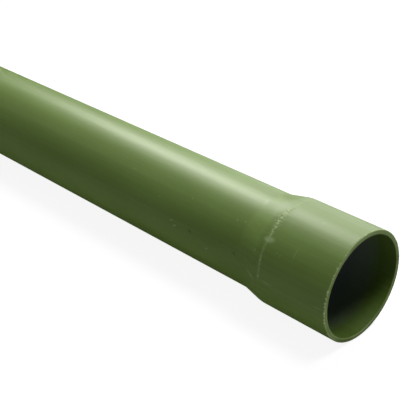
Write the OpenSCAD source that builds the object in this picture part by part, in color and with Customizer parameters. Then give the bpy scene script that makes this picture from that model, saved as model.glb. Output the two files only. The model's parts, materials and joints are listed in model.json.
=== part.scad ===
// Rigid PVC electrical conduit, one length with an integral socket.
// The axis lies along X. The origin is on the axis, at the seat where the next
// length's spigot stops: the mouth is at +X and the plain end at -X.
// All sizes are in millimetres.

/* [Conduit] */
// Outside diameter of the tube
tube_od = 60.3; // [33:0.1:170]
// Wall thickness, the same in the tube, the shoulder and the socket
wall = 2.8; // [1.6:0.1:6]
// Overall length, from the plain end to the socket's mouth
stock_length = 3000; // [600:10:6000]

/* [Socket] */
// Depth of the straight bore that takes the next length's spigot
socket_depth = 50; // [25:1:150]
// Gap all round between a spigot and the bore of the socket
spigot_gap = 0.35; // [0.1:0.05:1]
// Length of the shoulder, where the tube widens, from corner to corner
shoulder_length = 14; // [12:0.5:60]
// Radius that rounds the corner at each end of the shoulder
shoulder_bend_r = 16; // [5:1:30]

/* [Sawn ends] */
// Width of the worn edge outside each sawn end
outer_edge_break = 0.4; // [0.1:0.1:0.6]
// Width of the worn edge inside each sawn end
inner_edge_break = 0.4; // [0.1:0.1:0.6]

/* [Hidden] */
$fn = 96;

conduit_green = "#5f7541";
bend_steps = 6;
// Largest share of the shoulder's slope that either bend may take
bend_share = 0.45;

tube_r = tube_od / 2;
socket_bore_r = tube_r + spigot_gap;
socket_r = socket_bore_r + wall;
mouth_x = socket_depth;
plain_end_x = mouth_x - stock_length;
shoulder_rise = socket_r - tube_r;
shoulder_angle = atan(shoulder_rise / shoulder_length);
shoulder_slope = norm([shoulder_rise, shoulder_length]);
bend_reach = min(shoulder_bend_r * tan(shoulder_angle / 2), bend_share * shoulder_slope);
bend_r = bend_reach / tan(shoulder_angle / 2);
socket_corner_x = -bend_reach;
tube_corner_x = socket_corner_x - shoulder_length;

// Points [radius, x] of an arc that turns the wall's outline at a corner of the
// shoulder. The corner is the point where the two straight stretches would meet.
// bulge is 1 where the centre of the bend is on the axis side, at the socket, and
// -1 where it is outside, at the tube.
function bend(corner_r, corner_x, bulge) =
    let(
        straight_x = corner_x + bulge * bend_reach,
        centre_r = corner_r - bulge * bend_r
    )
    [
        for (i = [0 : bend_steps])
            let(turn = shoulder_angle * (bulge > 0 ? 1 - i / bend_steps : i / bend_steps))
            [
                centre_r + bulge * bend_r * cos(turn),
                straight_x - bulge * bend_r * sin(turn)
            ]
    ];

// One side of the wall, from the plain end to the mouth. It is straight in the
// tube, rises along the shoulder and is straight again in the socket. inset is
// how far it lies inside the outside of the conduit, and edge is what its ends
// lose to the worn edge.
function wall_side(inset, edge) =
    concat(
        [[tube_r - inset, plain_end_x + edge]],
        bend(tube_r - inset, tube_corner_x, -1),
        bend(socket_r - inset, socket_corner_x, 1),
        [[socket_r - inset, mouth_x - edge]]
    );

function reversed(points) = [for (i = [len(points) - 1 : -1 : 0]) points[i]];

// The wall's section. Its outside runs to the mouth, its inside runs back, and
// the two sawn faces join them.
wall_section = concat(
    [[tube_r - outer_edge_break, plain_end_x]],
    wall_side(0, outer_edge_break),
    [[socket_r - outer_edge_break, mouth_x]],
    [[socket_bore_r + inner_edge_break, mouth_x]],
    reversed(wall_side(wall, inner_edge_break)),
    [[tube_r - wall + inner_edge_break, plain_end_x]]
);

// Tube, shoulder and socket are one extrusion, so they are one turned wall
module conduit() {
    color(conduit_green)
        rotate([0, 90, 0])
            rotate_extrude()
                polygon(wall_section);
}

conduit();
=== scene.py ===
# %% [markdown]
# # A length of green PVC electrical conduit
#
# The object is one extruded tube, 60.3 mm across and 3 m long. One end was heated and pushed
# over a mandrel, which left a socket for the next length. Nothing is assembled: tube, shoulder
# and socket are one wall of PVC, so the whole lesson is about one surface and one material.
#
# The CAD model fixes the size and the place of everything. This file dresses it: a smooth
# turned surface, rigid PVC with the marks of the die, the saw and the yard, and a small studio.

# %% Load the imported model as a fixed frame
import json
import math

import bpy
import numpy as np
from mathutils import Matrix, Vector


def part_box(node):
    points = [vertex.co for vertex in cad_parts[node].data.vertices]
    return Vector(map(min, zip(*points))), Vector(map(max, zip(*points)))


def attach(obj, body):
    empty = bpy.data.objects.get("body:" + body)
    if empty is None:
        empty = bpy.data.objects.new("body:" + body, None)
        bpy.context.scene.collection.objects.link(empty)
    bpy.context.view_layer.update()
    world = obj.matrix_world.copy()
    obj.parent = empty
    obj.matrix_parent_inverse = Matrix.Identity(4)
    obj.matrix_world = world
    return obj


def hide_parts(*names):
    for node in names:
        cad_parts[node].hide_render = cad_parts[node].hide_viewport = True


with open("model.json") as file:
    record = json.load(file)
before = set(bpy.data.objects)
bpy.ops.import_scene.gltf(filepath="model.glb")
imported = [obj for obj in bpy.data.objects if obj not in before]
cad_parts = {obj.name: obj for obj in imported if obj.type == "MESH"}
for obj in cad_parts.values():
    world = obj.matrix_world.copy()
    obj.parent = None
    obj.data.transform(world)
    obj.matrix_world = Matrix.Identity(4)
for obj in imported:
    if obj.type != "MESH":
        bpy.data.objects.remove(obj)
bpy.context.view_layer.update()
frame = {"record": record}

# %% [markdown]
# ## The sizes
#
# A new piece has to lie where the CAD says, so its sizes are read and not typed in: the box
# gives both ends and the outside of the socket, and the record's mounts give the two bores and
# the tube. The CAD mesh has flat facets, so its box is a hair narrower one way than the true
# circle. The smooth surface keeps to the narrower side and stays inside the box.

# %% Read the driving sizes from the frame
low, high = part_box("conduit")
mounts = {mount["name"]: mount for mount in frame["record"]["mounts"]}

MM = 0.001
plain_end_x, mouth_x = low.x, high.x
socket_r = min(high.y - low.y, high.z - low.z) / 2
socket_bore_r = mounts["socket"]["dims"]["r_mm"] * MM
tube_r = mounts["spigot"]["dims"]["r_mm"] * MM
tube_bore_r = mounts["cableway"]["dims"]["r_mm"] * MM
seat_x = mounts["socket"]["pos_m"][0]
tube_end_x = mounts["spigot"]["pos_m"][0] + mounts["spigot"]["dims"]["length_mm"] * MM

EDGE = 0.4 * MM  # how far the worn edges of the sawn ends are rounded
BEND_R = 16 * MM  # radius of the two bends that make the shoulder
print(f"tube {2000 * tube_r:.1f} mm, socket {2000 * socket_r:.1f} mm, shoulder from x = "
      f"{1000 * tube_end_x:.2f} to {1000 * seat_x:.2f} mm")

# %% [markdown]
# ## The wall
#
# A turned form could be spun with a Screw modifier or lofted from circles. Here it is worked
# out with numpy, because then one array holds the whole skin: a closed outline of the wall's
# section, carried round the axis. The outline is a function of distance along the pipe, and
# the rounding of the sawn edges and the two soft bends of the shoulder are part of it, so no
# modifier has to guess them.

# %% The shoulder between tube and socket
def shoulder(x, start_r, end_r):
    """Radius at x for a wall that widens from start_r to end_r between tube_end_x and seat_x.

    Two arcs of radius BEND_R, bending opposite ways, with a straight slope between them. For
    a run L, a rise h and a bend radius b, the slope's half-angle tangent t solves
    (4b - h) t^2 - 2 L t + h = 0, because L = 2 b t + h / tan(slope).
    """
    run, rise = seat_x - tube_end_x, end_r - start_r
    k = 4 * BEND_R - rise
    t = (run - math.sqrt(run * run - k * rise)) / k
    slope = 2 * math.atan(t)
    reach = BEND_R * math.sin(slope)  # how far along x each arc goes
    a = np.clip(x - tube_end_x, 0, reach)
    b = np.clip(seat_x - x, 0, reach)
    lift = BEND_R - np.sqrt(BEND_R**2 - a**2)
    drop = BEND_R - np.sqrt(BEND_R**2 - b**2)
    straight = np.clip(x - tube_end_x - reach, 0, run - 2 * reach) * math.tan(slope)
    full = BEND_R - math.sqrt(BEND_R**2 - reach**2)
    return start_r + lift + straight + (full - drop)


half_way = np.array([(tube_end_x + seat_x) / 2])
print("outside radius half way up the shoulder, mm:",
      round(1000 * float(shoulder(half_way, tube_r, socket_r)[0]), 2))


# %% Stations along the pipe
LIP = 2 * MM  # the stretch behind each sawn edge, which carries its nicks
RING_STRETCH = 6 * MM  # the start of the socket, which carries the torn ring


def stations(tube, shoulder_rows, ring, socket, lip):
    """Places along x where the wall has a ring of points, from the plain end to the mouth.
    Each argument is the number of steps in one stretch: the straight tube, the shoulder, the
    first RING_STRETCH of the socket, the rest of the socket, and the LIP at each end."""
    corners = [plain_end_x + EDGE, plain_end_x + LIP, tube_end_x, seat_x,
               seat_x + RING_STRETCH, mouth_x - LIP, mouth_x - EDGE]
    steps = [lip, tube, shoulder_rows, ring, socket, lip]
    parts = [np.linspace(a, b, n, endpoint=False)
             for a, b, n in zip(corners, corners[1:], steps)]
    return np.concatenate(parts + [corners[-1:]])


outer_x = stations(tube=40, shoulder_rows=30, ring=18, socket=22, lip=5)
inner_x = stations(tube=16, shoulder_rows=14, ring=2, socket=6, lip=3)
print("stations outside and inside:", len(outer_x), len(inner_x))


# %% The outline of the wall
def quarter_round(x, r, along_x, along_r, steps=4):
    """Points of a worn edge: a quarter circle of radius EDGE round the corner at (x, r),
    from the side that runs along x to the sawn face. along_x and along_r are 1 or -1 and
    point from the corner into the material."""
    turn = np.linspace(0, math.pi / 2, steps + 1)
    return np.stack([x + along_x * EDGE * (1 - np.sin(turn)),
                     r + along_r * EDGE * (1 - np.cos(turn))], 1)


def across(start, end, steps):
    """Rows (x, r) in a straight line across a sawn face, without its two ends."""
    return np.linspace(start, end, steps + 1)[1:-1]


def wall_outline():
    """Closed section of the wall as rows (x, r): the outside to the mouth, across the sawn
    rim, back along the inside, and across the plain end."""
    outside = np.stack([outer_x, shoulder(outer_x, tube_r, socket_r)], 1)
    inside = np.stack([inner_x, shoulder(inner_x, tube_bore_r, socket_bore_r)], 1)
    mouth_out = quarter_round(mouth_x, socket_r, -1, -1)[1:]
    mouth_in = quarter_round(mouth_x, socket_bore_r, -1, 1)[1:]
    plain_out = quarter_round(plain_end_x, tube_r, 1, -1)[1:]
    plain_in = quarter_round(plain_end_x, tube_bore_r, 1, 1)[1:]
    rim = across(mouth_out[-1], mouth_in[-1], steps=6)
    heel = across(plain_in[-1], plain_out[-1], steps=5)
    return np.concatenate([outside, mouth_out, rim, mouth_in[::-1], inside[::-1],
                           plain_in, heel, plain_out[::-1]])


outline = wall_outline()
print("section of the wall:", len(outline), "points")

# %% [markdown]
# ## Real marks in the surface
#
# Three marks are deep enough to be shape and not only shade. The blade left shallow waves
# across both sawn faces. The sharp outer edges are nicked all round from being dropped on
# concrete. And the clamp of the belling machine left a ring on the socket, just in front of
# the shoulder, that has caught on other lengths ever since: in places it is torn into lumps,
# some raised and some hollow. A Displace modifier with a noise texture could raise such lumps,
# but it doesn't know which way is round the pipe. Here the lumps and the nicks are sums of
# waves with random but seeded phases, so their lengths round the pipe and along it are chosen
# apart, and they close on themselves after one turn.

# %% Waves round the pipe, and along it
rng = np.random.default_rng(603)


def waves(x, a, shortest_a, longest_a, shortest_x, count=90):
    """A random pattern on the skin, mostly between -1 and 1 and seldom past 2: the sum of
    cos(k a + q x + phase) over count waves, over the square root of half their number. k is a
    whole number that gives a wavelength between shortest_a and longest_a round the pipe, and
    q gives one of at least shortest_x along it."""
    round_pipe = 2 * math.pi * socket_r
    k = rng.integers(round_pipe / longest_a, round_pipe / shortest_a, count)
    q = rng.uniform(-1, 1, count) * 2 * math.pi / shortest_x
    phase = rng.uniform(0, 2 * math.pi, count)
    turns = np.multiply.outer(a, k) + phase
    shift = np.multiply.outer(x, q)
    both = np.cos(shift) @ np.cos(turns).T - np.sin(shift) @ np.sin(turns).T
    return both / math.sqrt(count / 2)


def hill(distance, width):
    """A smooth hill of height 1 that reaches zero at plus and minus width: (1 - d^2/w^2)^2."""
    return np.clip(1 - (distance / width) ** 2, 0, 1) ** 2


ROUND = 480  # points round the pipe
angles = np.linspace(0, 2 * math.pi, ROUND, endpoint=False)
ANY_X = np.zeros(1)  # for a pattern that is the same all along x
SAME_ALONG_X = 1.0
print(f"points {2000 * math.pi * socket_r / ROUND:.2f} mm apart round the socket")

# %% The torn ring
LUMP_HEIGHT = 0.065 * MM
RING_X = seat_x + 3 * MM
RING_WANDER = 0.2 * MM  # how far the line strays along x
RING_LINE = 1.1 * MM  # half the line's width
BAND_LEAST, BAND_GROWS = 1.0, 3.0  # mm, half the lumpy band's width and what strength adds
RING_STRENGTH = [  # (degrees round the pipe, strength), from the side of the camera over the top
    (-5, 0.0), (0, 0.35), (7, 0.3), (14, 0.4), (25, 0.4), (33, 0.4), (37, 0.6),
    (43, 0.75), (47, 0.75), (53, 0.85), (60, 0.95), (72, 0.95), (80, 0.85), (88, 0.4),
    (96, 0.15), (112, 0.3), (130, 0.7), (150, 0.4), (180, 0.5), (210, 0.8), (235, 0.3),
    (265, 0.6), (290, 0.3), (310, 0.1)]


def ring_tear(x, a):
    """Two patterns on the skin round the ring: where it is torn, from 0 to 1, and the height
    of its lumps, in LUMP_HEIGHTs. A fine line runs all the way and wanders a little along x.
    Where the ring was torn harder, lumps some 2 mm to either side of it are torn too."""
    degrees, strength = np.array(RING_STRENGTH).T
    strength = np.interp(np.degrees(a), degrees, strength, period=360)
    off = x[:, None] - (RING_X + RING_WANDER * waves(ANY_X, a, 12 * MM, 60 * MM, SAME_ALONG_X))
    line = 0.9 * hill(off, RING_LINE) * strength
    lumps = waves(x, a, 1.5 * MM, 9 * MM, 1.7 * MM)
    band = hill(off, (BAND_LEAST + BAND_GROWS * strength**2) * MM) * strength**1.5
    return np.clip(line + 0.5 * band * (lumps + 0.5), 0, 1), band * lumps


torn, lumps = ring_tear(outline[:, 0], angles)
print(f"lumps from {1000 * LUMP_HEIGHT * lumps.min():.2f} to "
      f"{1000 * LUMP_HEIGHT * lumps.max():.2f} mm high")

# %% The knocked edges
EDGE_WEAR = [  # (degrees round the pipe, strength)
    (-40, 0.4), (-15, 0.8), (10, 0.9), (30, 0.8), (45, 0.5), (60, 0.3), (100, 0.3),
    (150, 0.6), (200, 0.3), (250, 0.5), (300, 0.3)]


def edge_ripple(a):
    """The nicks round an edge: waves 1.4 to 20 mm long, less a floor of 0.1 so that some of
    the edge stays whole, times the strength of EDGE_WEAR."""
    degrees, wear = np.array(EDGE_WEAR).T
    wear = np.interp(np.degrees(a), degrees, wear, period=360)
    return np.clip(waves(ANY_X, a, 1.4 * MM, 20 * MM, SAME_ALONG_X) - 0.1, 0, 1.5) * wear


ripple = edge_ripple(angles)
print(f"share of the edge that is nicked: {np.mean(ripple > 0):.2f}")

# %% Carry the outline round the axis
NICK_DEPTH = 0.25 * MM
NICK_LENGTH = 1.2 * MM  # how far a nick reaches along x from the end
SAW_DEPTH = 0.05 * MM
SAW_PITCH = 2.4 * MM  # feed of the blade from one tooth mark to the next
SAW_LENGTH = 0.9 * MM  # how far behind the cut its waves have faded out
SAW_FEED = (0.9, 0.44)  # the way the blade went through the pipe, in y and z
SKIN_DEPTH = 0.8 * MM  # how deep in the wall the marks of the outside have faded out


def turned(section, a, lumps, ripple):
    """Grid of points: the section's (x, r) carried round the X axis through the angles a. The
    angle is 0 on the side towards the camera and grows over the top, so y = -r cos(a) and
    z = r sin(a).

    The outside is raised and lowered by the ring's lumps. The outer edges lose NICK_DEPTH
    times the ripple of nicks, fading along x as a hill, and half as much off their length.
    Both sawn faces sink in by a wave of length SAW_PITCH that runs across the whole cut.
    Nothing goes past the CAD's own box. The strength of the nicks comes back with the points."""
    x, r = section[:, :1], section[:, 1:]
    to_end = np.minimum(mouth_x - x, x - plain_end_x)
    outer = hill(np.maximum(shoulder(x, tube_r, socket_r) - r, 0), SKIN_DEPTH)
    nicks = ripple * hill(to_end, NICK_LENGTH) * outer
    r = r + outer * LUMP_HEIGHT * lumps - NICK_DEPTH * nicks

    y = np.clip(-r * np.cos(a), low.y, high.y)
    z = np.clip(r * np.sin(a), -socket_r, socket_r)
    fed = SAW_FEED[0] * y + SAW_FEED[1] * z
    saw = 0.5 - 0.5 * np.cos(2 * math.pi * fed / SAW_PITCH)
    sink = SAW_DEPTH * saw * hill(to_end, SAW_LENGTH) + 0.5 * NICK_DEPTH * nicks
    inwards = np.where(x > seat_x, -1, 1)
    return np.stack([x + inwards * sink, y, z], -1), nicks


points, nicks = turned(outline, angles, lumps, ripple)
points = points.reshape(-1, 3)
print(f"{len(points)} points, deepest nick {1000 * NICK_DEPTH * nicks.max():.2f} mm")


# %% Join the points with faces
def closed_grid_faces(rows, columns):
    """Quads of a grid that closes on itself both ways, as on a ring doughnut."""
    i, j = np.meshgrid(np.arange(rows), np.arange(columns), indexing="ij")
    i2, j2 = (i + 1) % rows, (j + 1) % columns
    return np.stack([i * columns + j, i * columns + j2, i2 * columns + j2,
                     i2 * columns + j], -1).reshape(-1, 4)


def signed_volume(points, faces):
    """Volume inside a closed mesh of quads, positive when the faces point outwards: a sixth
    of the sum of a . (b x c) over its triangles."""
    a, b, c, d = (points[faces[:, k]] for k in range(4))
    six = np.einsum("ij,ij->i", a, np.cross(b, c)) + np.einsum("ij,ij->i", a, np.cross(c, d))
    return six.sum() / 6


faces = closed_grid_faces(len(outline), ROUND)
if signed_volume(points, faces) < 0:
    faces = faces[:, ::-1]
print(f"wall: {signed_volume(points, faces) * 1e6:.1f} cm3, {2 * len(faces)} triangles")

# %% Make the mesh
skin = bpy.data.meshes.new("conduit_skin")
skin.from_pydata(points.tolist(), [], faces.tolist())
skin.polygons.foreach_set("use_smooth", np.ones(len(skin.polygons), bool))
skin.update()
conduit = bpy.data.objects.new("conduit_skin", skin)
bpy.context.scene.collection.objects.link(conduit)
print("mesh:", len(skin.vertices), "vertices,", len(skin.polygons), "quads")

# %% [markdown]
# ## Which part of the wall is which
#
# The outside slid through the die, the inside over the pin, and both ends were sawn, so they
# don't look alike. A material could find these parts again from coordinates. The outline
# already knows them, so they are written on the points as attributes, which follow the
# surface exactly: sawn is 1 on a cut face, depth_in_wall goes from 0 at the bore to 1 at
# the outside, and scraped and nicked are 1 where the skin is torn or knocked off.

# %% Store the sawn faces, the depth in the wall, the torn ring and the nicks
OUTSIDE_FROM = 0.9  # depths in the wall from which a point counts as outside
BORE_TO = 0.1  # and up to which it counts as the bore
SAWN_FADE = 0.8 * EDGE

along, radius = outline.T
to_end = np.minimum(mouth_x - along, along - plain_end_x)
bore_r = shoulder(along, tube_bore_r, socket_bore_r)
share = (radius - bore_r) / (shoulder(along, tube_r, socket_r) - bore_r)
all_round = np.ones((1, ROUND))
stored = {"sawn": np.clip(1 - to_end / SAWN_FADE, 0, 1)[:, None] * all_round,
          "depth_in_wall": share[:, None] * all_round,
          "scraped": torn * (share[:, None] > OUTSIDE_FROM),
          "nicked": nicks}
for name, values in stored.items():
    attribute = skin.attributes.new(name, "FLOAT", "POINT")
    attribute.data.foreach_set("value", values.astype(np.float32).ravel())
    print(f"{name}: {values.min():.2f} to {values.max():.2f}")


# %% [markdown]
# ## The material
#
# Rigid PVC with an olive green pigment mixed in before extrusion. It is a dielectric with an
# index of refraction near 1.5. The hot tube was drawn through a sizing sleeve in a water bath,
# so its skin is satin: a broad soft highlight, with very faint lines along the pipe from
# scores in the die. A painted or textured shell would have the green on top only. Here it
# goes right through, and only a few things change it: the skin is cloudy here and there,
# scraped PVC turns chalky, a sawn face scatters more light and looks paler and is painted
# paler still as painted light on the rim, and a little dirt sticks. A grey-blue coat in the
# bore is a painted haze of light over its dark inside.

# %% One function for colours and one for nodes
def linear(hex_colour):
    """An sRGB hex colour as the linear RGBA that Blender's sockets take."""
    s = np.array([int(hex_colour[k:k + 2], 16) for k in (1, 3, 5)]) / 255
    rgb = np.where(s <= 0.04045, s / 12.92, ((s + 0.055) / 1.055) ** 2.4)
    return (*rgb.tolist(), 1.0)


def add(tree, kind, inputs=(), out=0, **settings):
    """Adds a node to a tree, sets its properties, and fills its inputs with values or links.
    inputs is a list in the order of the sockets, where None leaves one alone, or a dict of
    socket names or numbers. Gives back the node's output number out."""
    node = tree.nodes.new("ShaderNode" + kind)
    for name, value in settings.items():
        setattr(node, name, value)
    for key, value in inputs.items() if isinstance(inputs, dict) else enumerate(inputs):
        if isinstance(value, bpy.types.NodeSocket):
            tree.links.new(value, node.inputs[key])
        elif value is not None:
            node.inputs[key].default_value = value
    return node.outputs[out] if len(node.outputs) else None


print("mid grey in linear light:", round(linear("#808080")[0], 3))

# %% Places on the skin, in millimetres
pvc = bpy.data.materials.new("extruded_rigid_pvc")
pvc.use_nodes = True
tree = pvc.node_tree
tree.nodes.clear()

OBJECT_COORDINATES = 3  # the output's number on a Texture Coordinate node
SKIN_R = 32.0  # mm, between the outside of the tube and of the socket
here = add(tree, "TexCoord", out=OBJECT_COORDINATES)
mm = add(tree, "VectorMath", {"Vector": here, "Scale": 1000.0}, operation="SCALE")
axes = add(tree, "SeparateXYZ", [mm]).node.outputs
minus_y = add(tree, "Math", [axes["Y"], -1.0], operation="MULTIPLY")
angle = add(tree, "Math", [axes["Z"], minus_y], operation="ARCTAN2")
arc = add(tree, "Math", [angle, SKIN_R], operation="MULTIPLY")
flat = add(tree, "CombineXYZ", [axes["X"], arc, 0.0])
print("places on the skin: x along the pipe, and the length of arc round it")

# %% [markdown]
# ### Lines from the die, and a cloudy skin
#
# A score in the die is 0.1 to 0.5 mm wide and marks the tube for hundreds of metres. That is
# too fine to show here, so the lines are drawn 1 to 2 mm wide. Noise that is squeezed along
# x turns its blobs into such lines. The clouds come from uneven cooling in the water bath
# and are a few centimetres long. The grain is the faint orange peel of an extruded skin,
# again coarser than the real one.

# %% Noise for the lines, the clouds and the grain
patterns = {}
for name, squeeze_x, size_mm, detail, rough in (
        ("die lines", 0.002, 2.0, 3.0, 0.6),
        ("broad lines", 0.004, 7.0, 2.0, 0.5),
        ("clouds", 0.25, 16.0, 4.0, 0.6),
        ("grain", 1.0, 0.9, 2.0, 0.6)):
    where = add(tree, "VectorMath", [mm, (squeeze_x, 1.0, 1.0)], operation="MULTIPLY")
    patterns[name] = add(tree, "TexNoise", {
        "Vector": where, "Scale": 1 / size_mm, "Detail": detail, "Roughness": rough})
print("noise:", ", ".join(patterns))

# %% [markdown]
# ### The torn ring
#
# The mesh already has the ring's lumps, and the attribute says where they are. Torn PVC
# shows tiny voids and looks chalky. A fine noise breaks the chalk up inside each lump, with
# crumbs drawn several times coarser than the real voids, which wouldn't show.

# %% Chalk on the torn ring
CRUMB_MM = 0.7
scraped = add(tree, "Attribute", attribute_name="scraped", out=2)
crumbs = add(tree, "TexNoise", {"Vector": mm, "Scale": 1 / CRUMB_MM, "Detail": 2.0,
                                "Roughness": 0.6})
crumbs = add(tree, "MapRange", [crumbs, 0.35, 0.6, 0.5, 1.0])
print("crumbs of chalk about", CRUMB_MM, "mm across")

# %% [markdown]
# ### Scratches, specks and dirt
#
# Handling left a few light scratches and specks, and a little dirt is pressed into others.
# Each is a soft ellipse on the skin, from a short list of place, size and slant. A Mapping
# node of the Texture kind carries the skin into the ellipse, where a spherical gradient is 1
# in the middle and 0 at the edge.

# %% Place each mark
MARKS = [  # x mm, degrees round, half length mm, half width mm, slant degrees, strength
    (4, 39.5, 4.6, 2.2, 8, 0.7),  # a broad rub beside the ring
    (3, 18, 1.7, 0.7, 85, 0.6),
    (3, 1.5, 1.4, 0.6, 85, 0.6),
    (23, 38, 5.0, 0.4, 88, 0.3),
    (12, 31, 1.2, 0.35, 60, 0.35),
    (14.5, 30, 1.2, 0.35, 60, 0.35),
    (45, 0, 4.5, 0.3, 3, 0.45),
    (9, -2, 5.5, 0.4, -3, 0.5),
    (-3.5, -2, 4.5, 0.45, -30, 0.6),
    (-2.5, 24.5, 1.1, 0.5, 60, 0.6),
    (-23.5, 43, 0.7, 0.5, 0, 0.6),
    (-18, 46, 0.7, 0.5, 0, 0.6),
    (-113, 45, 0.9, 0.6, 0, 0.35),
    (-84, 29, 0.8, 0.6, 0, 0.4),
    (-60, 43, 0.8, 0.6, 0, 0.35),
    (25.5, 79, 1.2, 0.6, 20, 0.35),
    (29, -18, 0.6, 0.5, 0, 0.35),
    (-40.5, -3.5, 1.6, 0.6, 10, 0.55),
    (-105, -23, 0.9, 0.7, 0, 0.35),
    (-70.5, 9.5, 2.0, 0.6, 25, 0.55),
    (-67.5, 5, 2.2, 0.6, 25, 0.5),
    (-54.5, 7, 2.2, 0.7, -40, -0.5),  # a strength below zero is dirt
    (-18.5, 8, 2.0, 0.7, -35, -0.5),
    (-30, 12, 0.7, 0.6, 0, -0.3),
    (-85.5, 1, 0.8, 0.6, 0, 0.35),
]
scratches, dirt = 0.0, 0.0
for x_mm, degrees, length, width, slant, power in MARKS:
    place = add(tree, "Mapping", vector_type="TEXTURE", inputs={
        "Vector": flat, "Location": (x_mm, math.radians(degrees) * SKIN_R, 0.0),
        "Rotation": (0.0, 0.0, math.radians(slant)), "Scale": (length, width, 1.0)})
    spot = add(tree, "TexGradient", [place], out=1, gradient_type="SPHERICAL")
    spot = add(tree, "Math", [spot, 2 * abs(power)], operation="MULTIPLY", use_clamp=True)
    if power > 0:
        scratches = add(tree, "Math", [spot, scratches], operation="MAXIMUM")
    else:
        dirt = add(tree, "Math", [spot, dirt], operation="MAXIMUM")
print("scratches, specks and dirt:", len(MARKS))

# %% [markdown]
# ### Colours
#
# The pigment varies a little between two greens. On a cut face the blade presses the middle of
# the wall smooth and leaves both edges paler, and the blend from one to the other also goes in
# patches of about 14 mm, where the blade rubbed more. It rubbed most on the upper side towards
# +Y, where it left the cut. Both colours of a cut face are also painted paler than sawn PVC,
# as painted light that the lamps bring to the rim only weakly. The painted haze in the bore
# starts a finger's depth inside. Each of these is worked out as a share from 0 to 1, and then
# the colours are laid over each other like coats.

# %% Where the cut faces are paler
PATCH_MM = 14.0
sawn = add(tree, "Attribute", attribute_name="sawn", out=2)
depth = add(tree, "Attribute", attribute_name="depth_in_wall", out=2)
off_middle = add(tree, "Math", [depth, 0.5], operation="SUBTRACT")
off_middle = add(tree, "Math", [off_middle], operation="ABSOLUTE")
towards_edges = add(tree, "MapRange", [off_middle, 0.1, 0.4, 0.0, 0.5])
patches = add(tree, "TexNoise", {"Vector": mm, "Scale": 1 / PATCH_MM, "Detail": 2.0,
                                 "Roughness": 0.5})
patches = add(tree, "MapRange", [patches, 0.4, 0.6, 0.0, 0.6])
upper_back = add(tree, "Math", [axes["Y"], 0.5, axes["Z"]], operation="MULTIPLY_ADD")
rubbed = add(tree, "MapRange", [upper_back, 22.0, 34.0, 0.0, 0.9])
patches = add(tree, "Math", [patches, rubbed], operation="ADD")
pale = add(tree, "Math", [towards_edges, patches], operation="ADD", use_clamp=True)
print("paler towards both edges of the wall and in patches of", PATCH_MM, "mm")

# %% Where the skin is chalky or dirty, and where the bore gets its painted haze
# The grey-blue coat of the bore paints a haze of light over its dark inside. It starts and is full at
# these distances from the nearer end.
HAZE_FROM_MM, HAZE_FULL_MM = 10, 38  # distances from the nearer end
on_skin = add(tree, "Math", [depth, OUTSIDE_FROM], operation="GREATER_THAN")
chalk = add(tree, "Math", [scraped, scratches], operation="MAXIMUM")
chalk = add(tree, "Math", [chalk, crumbs], operation="MULTIPLY")
chalk = add(tree, "Math", [chalk, on_skin], operation="MULTIPLY")
dirty = add(tree, "Math", [dirt, on_skin], operation="MULTIPLY")
nicked = add(tree, "Attribute", attribute_name="nicked", out=2)
nicked = add(tree, "Math", [nicked, crumbs], operation="MULTIPLY", use_clamp=True)

# The bore's painted haze of light fades in from each end.
in_bore = add(tree, "Math", [depth, BORE_TO], operation="LESS_THAN")
half_mm = 500 * (mouth_x - plain_end_x)
middle_mm = 500 * (plain_end_x + mouth_x)
from_middle = add(tree, "Math", [axes["X"], middle_mm], operation="SUBTRACT")
from_middle = add(tree, "Math", [from_middle], operation="ABSOLUTE")
inside = add(tree, "MapRange", [from_middle, half_mm - HAZE_FROM_MM, half_mm - HAZE_FULL_MM,
                                0.0, 1.0])
bore_haze = add(tree, "Math", [inside, in_bore], operation="MULTIPLY")
print("painted_haze in the bore, full", HAZE_FULL_MM, "mm from each end")

# %% Lay the colours over each other
LIGHT_GREEN, DEEP_GREEN = "#617b34", "#58702a"
# The nicks on the outer edges are painted nearly white, far paler than the chalk of the ring.
CHALK, NICKED = "#94a873", "#dcebb8"
# The cut faces are paler than the skin, as sawn PVC is, and both colours are painted paler still:
# painted light that the lamps bring to the rim only weakly.
CUT_PALE_AND_LIT, CUT_MIDDLE_AND_LIT = "#bcd88b", "#96b163"
# The first colour here paints a haze of light into the dark bore; the second is real dirt.
BORE_HAZE_GREY, DIRT = "#a3abb2", "#262b17"
SHARE, UNDER, OVER, MIXED = 0, 6, 7, 2  # the Mix node's sockets for colours, and its output

both = add(tree, "Math", [patterns["clouds"], patterns["die lines"]], operation="ADD")
cloudy = add(tree, "MapRange", [both, 0.75, 1.25, 0.0, 1.0])
# The cut face's colour carries painted light as well as sawn PVC's own paleness.
cut_face_lit = add(tree, "Mix", {SHARE: pale, UNDER: linear(CUT_MIDDLE_AND_LIT), OVER: linear(CUT_PALE_AND_LIT)},
               out=MIXED, data_type="RGBA")
colour = linear(DEEP_GREEN)
# Over the greens go real chalk and dirt, the grey-blue that paints a haze of light into the bore, the
# cut faces with painted light in their paleness, and the very pale nicks.
coats = [(cloudy, linear(LIGHT_GREEN)), (chalk, linear(CHALK)), (dirty, linear(DIRT)),
         (bore_haze, linear(BORE_HAZE_GREY)), (sawn, cut_face_lit), (nicked, linear(NICKED))]
for coverage, coat in coats:
    colour = add(tree, "Mix", {SHARE: coverage, UNDER: colour, OVER: coat},
                 out=MIXED, data_type="RGBA")
print("coats of colour:", len(coats))

# %% [markdown]
# ### Sheen and fine relief
#
# How soft the highlight is comes from the roughness. It goes up a little in broad lines, and
# more on chalk and on a cut. Even chalk is too shallow for the mesh, and so are the die's
# lines and the grain. They are added up as a height in millimetres for one Bump node, and
# each is as deep as on the real pipe or slightly deeper, so that it catches the light.

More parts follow.
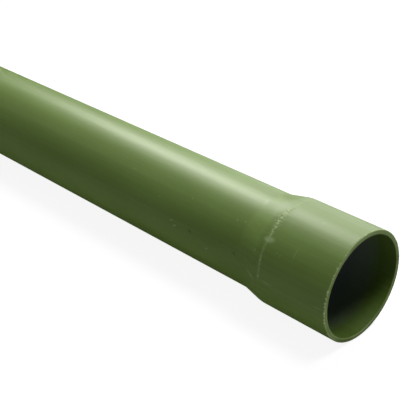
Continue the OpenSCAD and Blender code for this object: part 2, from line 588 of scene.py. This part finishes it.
# %% Roughness
SATIN_LEAST, SATIN_MOST = 0.46, 0.50
CHALK_ADDS, CUT_ADDS = 0.2, 0.15
satin = add(tree, "MapRange", [patterns["broad lines"], 0.3, 0.7, SATIN_LEAST, SATIN_MOST])
chalky_rough = add(tree, "Math", [chalk, CHALK_ADDS], operation="MULTIPLY")
roughness = add(tree, "Math", [satin, chalky_rough], operation="ADD")
roughness = add(tree, "Math", [sawn, CUT_ADDS, roughness], operation="MULTIPLY_ADD")
print("roughness of the clean skin:", SATIN_LEAST, "to", SATIN_MOST)

# %% Relief too fine for the mesh
RELIEF_MM = [(patterns["die lines"], 0.035), (patterns["grain"], 0.004), (chalk, 0.05)]
height = 0.0
for pattern, millimetres in RELIEF_MM:
    height = add(tree, "Math", [pattern, millimetres, height], operation="MULTIPLY_ADD")
normal = add(tree, "Bump", {"Strength": 1.0, "Distance": MM, "Height": height})
print("depths of the relief, mm:", [millimetres for _, millimetres in RELIEF_MM])

# %% The shader
surface = add(tree, "BsdfPrincipled", {
    "Base Color": colour, "Roughness": roughness, "Normal": normal, "IOR": 1.5,
    "Specular Tint": linear("#feffec")})
add(tree, "OutputMaterial", [surface])
skin.materials.append(pvc)
print("material", pvc.name, "with", len(tree.nodes), "nodes")

# %% Tell the frame what the new piece is
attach(conduit, "root")
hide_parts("conduit")

# %% [markdown]
# ## The studio
#
# The camera stands in front of the mouth and to one side, a little above it, so the pipe runs
# away to the upper left and out of the view.
#
# A satin tube is lit from behind and above, so that its highlight runs along the upper side
# and its form shows. One bare lamp would draw a hard line, so the light comes from soft boxes.
# The key stands behind the pipe and the strip is higher and further round. A grid on the
# strip lets its light fall off down the pipe. The small box overhead lights the sawn rim and
# reaches a little way into the socket. A narrow spot picks out the shoulder, whose slope
# faces away from the other lamps, and weak boxes on the left give the front a soft sheen.
# None of them stands in front of the mouth, so the bore stays dark.

# %% Camera
CAMERA_PLACE = (0.29214, -0.35870, 0.28358)
CAMERA_AZIMUTH, CAMERA_ELEVATION = 45.215, 28.938
CAMERA_LENS = 81.34  # mm, on a sensor 36 mm wide

scene = bpy.context.scene
scene.view_settings.view_transform = "Standard"


def aim(obj, place, azimuth, elevation):
    """Puts an object at a place, looking along the azimuth (0 along +Y, 90 along -X) and
    down by the elevation, both in degrees."""
    az, el = math.radians(azimuth), math.radians(elevation)
    forward = Vector((-math.sin(az) * math.cos(el), math.cos(az) * math.cos(el), -math.sin(el)))
    turn = forward.to_track_quat("-Z", "Y").to_matrix().to_4x4()
    obj.matrix_world = Matrix.Translation(place) @ turn


camera_data = bpy.data.cameras.new("camera")
camera_data.sensor_width = 36
camera_data.lens = CAMERA_LENS
camera_data.clip_start = 0.01
camera = bpy.data.objects.new("camera", camera_data)
scene.collection.objects.link(camera)
aim(camera, CAMERA_PLACE, CAMERA_AZIMUTH, CAMERA_ELEVATION)
scene.camera = camera
print(f"camera {1000 * (Vector(CAMERA_PLACE) - Vector((mouth_x, 0, 0))).length:.0f} mm from the mouth")

# %% A function for soft boxes
TARGET = Vector((-0.048, 0, 0))  # on the axis, a little behind the shoulder


def softbox(name, azimuth, elevation, size, watts, spread=180.0, target=TARGET, distance=1.2):
    """A rectangular area lamp in a direction from the target, in degrees anticlockwise from
    +X and up from the floor, turned to face the target. size is in metres. spread is the full
    angle of its beam in degrees: a real box gets a narrow beam from a grid."""
    az, el = math.radians(azimuth), math.radians(elevation)
    direction = Vector((math.cos(az) * math.cos(el), math.sin(az) * math.cos(el), math.sin(el)))
    data = bpy.data.lights.new(name, "AREA")
    data.shape = "RECTANGLE"
    data.size, data.size_y = size
    data.energy = watts
    data.spread = math.radians(spread)
    lamp = bpy.data.objects.new(name, data)
    scene.collection.objects.link(lamp)
    turn = (-direction).to_track_quat("-Z", "Y").to_matrix().to_4x4()
    lamp.matrix_world = Matrix.Translation(target + direction * distance) @ turn
    return lamp


# %% Lamps round the socket
MID_SHOULDER = Vector((seat_x - 0.005, 0, 0))
softbox("key", 110.0, 25.4, (0.70, 1.45), 10.0)
softbox("strip", 145.7, 46.0, (0.35, 0.47), 1.10, spread=50.0)
softbox("overhead", 34.0, 73.5, (0.40, 0.36), 6.4)
softbox("left", 200.0, 48.0, (1.0, 0.8), 0.9)
haze = softbox("haze", 217.0, 36.0, (0.8, 0.6), 0.8)
haze.visible_diffuse = False  # it gives sheen only
softbox("spot", 151.0, 21.0, (0.12, 0.12), 0.014, spread=10.0, target=MID_SHOULDER)
fill = softbox("fill", 258.0, 12.0, (1.60, 0.45), 0.6)

# %% Lamps along the far part
# They light the rest of the 3 m for other views. Their grids keep them off the socket.
PLAIN_END = Vector((plain_end_x, 0, 0))
FAR_PART = Vector((plain_end_x + 1.1, 0, 0))
softbox("far_back", 90.0, 45.0, (2.0, 0.5), 2.4, spread=50.0, target=FAR_PART, distance=1.0)
softbox("far_front", 270.0, 50.0, (2.0, 0.5), 1.2, spread=50.0, target=FAR_PART, distance=1.0)
softbox("far_end", 212.0, 50.0, (0.5, 0.5), 0.5, spread=50.0, target=PLAIN_END, distance=1.4)

# %% [markdown]
# ### Light from below
#
# On white paper the underside of a pipe is not black: the paper in front of it throws light
# back up. The floor here is dim to light that bounces, which keeps the lamps in charge, except
# for a faint glow of its own that lights the pipe from below though the paper is no lamp. So a
# lamp of the same shape as that patch of paper lies on the floor and shines upwards. It and the
# fill are hidden from glossy rays: they lift the colour of the dark side and add no highlight
# to it.

# %% The card on the floor
CARD_LENGTH, CARD_WIDTH = 2.0, 0.75
CARD_PAST_MOUTH = 0.12  # how far it reaches in front of the mouth
CARD_FROM_AXIS = 0.040  # from below the axis to its nearer long edge
card = softbox("card", 262.0, 0.0, (CARD_LENGTH, CARD_WIDTH), 3.2)
card_middle = (mouth_x + CARD_PAST_MOUTH - CARD_LENGTH / 2,
               -CARD_FROM_AXIS - CARD_WIDTH / 2, -socket_r)
card.matrix_world = Matrix.Translation(card_middle) @ Matrix.Rotation(math.pi, 4, "X")
for lamp in (fill, card):
    lamp.visible_glossy = False

# %% [markdown]
# ## A white world and a pale floor
#
# The background is white because the camera and transmitted rays see white, not because more
# light falls on the pipe. Rays that left a glossy surface see a small share of that white: the
# full white belongs to metal and glass, and satin plastic would lose its dark side in it.
# All other rays see a dim world, so the lamps do the modelling. The floor is a sheet of paper
# that works the same way, and it keeps the soft shadow that the pipe throws. For light that
# bounces it also glows faintly, though it is no lamp: painted light from below.

# %% What each kind of ray sees
def white_share(tree, for_glossy):
    """1 for camera and transmission rays, for_glossy for glossy ones, 0 for the rest."""
    rays = add(tree, "LightPath").node.outputs
    glossy = add(tree, "Math", [rays["Is Glossy Ray"], for_glossy], operation="MULTIPLY")
    seen = add(tree, "Math", [rays["Is Camera Ray"], rays["Is Transmission Ray"]],
               operation="MAXIMUM")
    return add(tree, "Math", [seen, glossy], operation="MAXIMUM")


# %% World
WHITE = (1.0, 1.0, 1.0, 1.0)
DIM_WORLD = 0.036
WORLD_GLOSSY = 0.10  # share of the white that glossy rays see
world = bpy.data.worlds.new("studio")
scene.world = world
world.use_nodes = True
tree = world.node_tree
tree.nodes.clear()
dim = add(tree, "Background", [WHITE, DIM_WORLD])
white = add(tree, "Background", [WHITE, 1.0])
add(tree, "OutputWorld", [add(tree, "MixShader", [white_share(tree, WORLD_GLOSSY), dim, white])])
print("world:", DIM_WORLD, "for light that bounces,", WORLD_GLOSSY, "in gloss, 1 for the camera")

# %% Paper
PAPER = (0.05, 0.05, 0.05, 1.0)  # dim for light that bounces, so that the lamps decide
# The paper glows faintly for light that bounces: painted light from below, though the paper is no
# lamp.
PAPER_GLOW = 0.12
PAPER_SEEN = (0.2, 0.2, 0.2, 1.0)  # this part shows the shadow
PAPER_WHITE = 0.9
PAPER_GLOSSY = 0.02  # share of the white that glossy rays see
paper = bpy.data.materials.new("matt_paper")
paper.use_nodes = True
tree = paper.node_tree
tree.nodes.clear()
rays = add(tree, "LightPath").node.outputs
# For rays that bounce, the paper adds its faint painted glow.
glow = add(tree, "MixShader", [rays["Is Diffuse Ray"], None,
                               add(tree, "Emission", [WHITE, PAPER_GLOW])])
bounce = add(tree, "AddShader", [add(tree, "BsdfDiffuse", [PAPER]), glow])
seen = add(tree, "AddShader", [add(tree, "BsdfDiffuse", [PAPER_SEEN]),
                               add(tree, "Emission", [WHITE, PAPER_WHITE])])
shared = add(tree, "MixShader", [white_share(tree, PAPER_GLOSSY), bounce, seen])
add(tree, "OutputMaterial", [shared])
paper.cycles.emission_sampling = "NONE"  # it is no lamp, so no lamp rays are aimed at it
print("material", paper.name, "with", len(tree.nodes), "nodes")

# %% Floor
FLOOR_HALF = 30.0  # metres, so that its edge is out of every view
FLOOR_Z = -socket_r - 0.2 * MM  # a hair below the pipe
corners = [(-1, -1), (1, -1), (1, 1), (-1, 1)]
sheet = bpy.data.meshes.new("floor")
sheet.from_pydata([(x * FLOOR_HALF, y * FLOOR_HALF, FLOOR_Z) for x, y in corners], [],
                  [(0, 1, 2, 3)])
sheet.materials.append(paper)
floor = bpy.data.objects.new("floor", sheet)
scene.collection.objects.link(floor)
print("floor at z =", round(1000 * FLOOR_Z, 2), "mm")
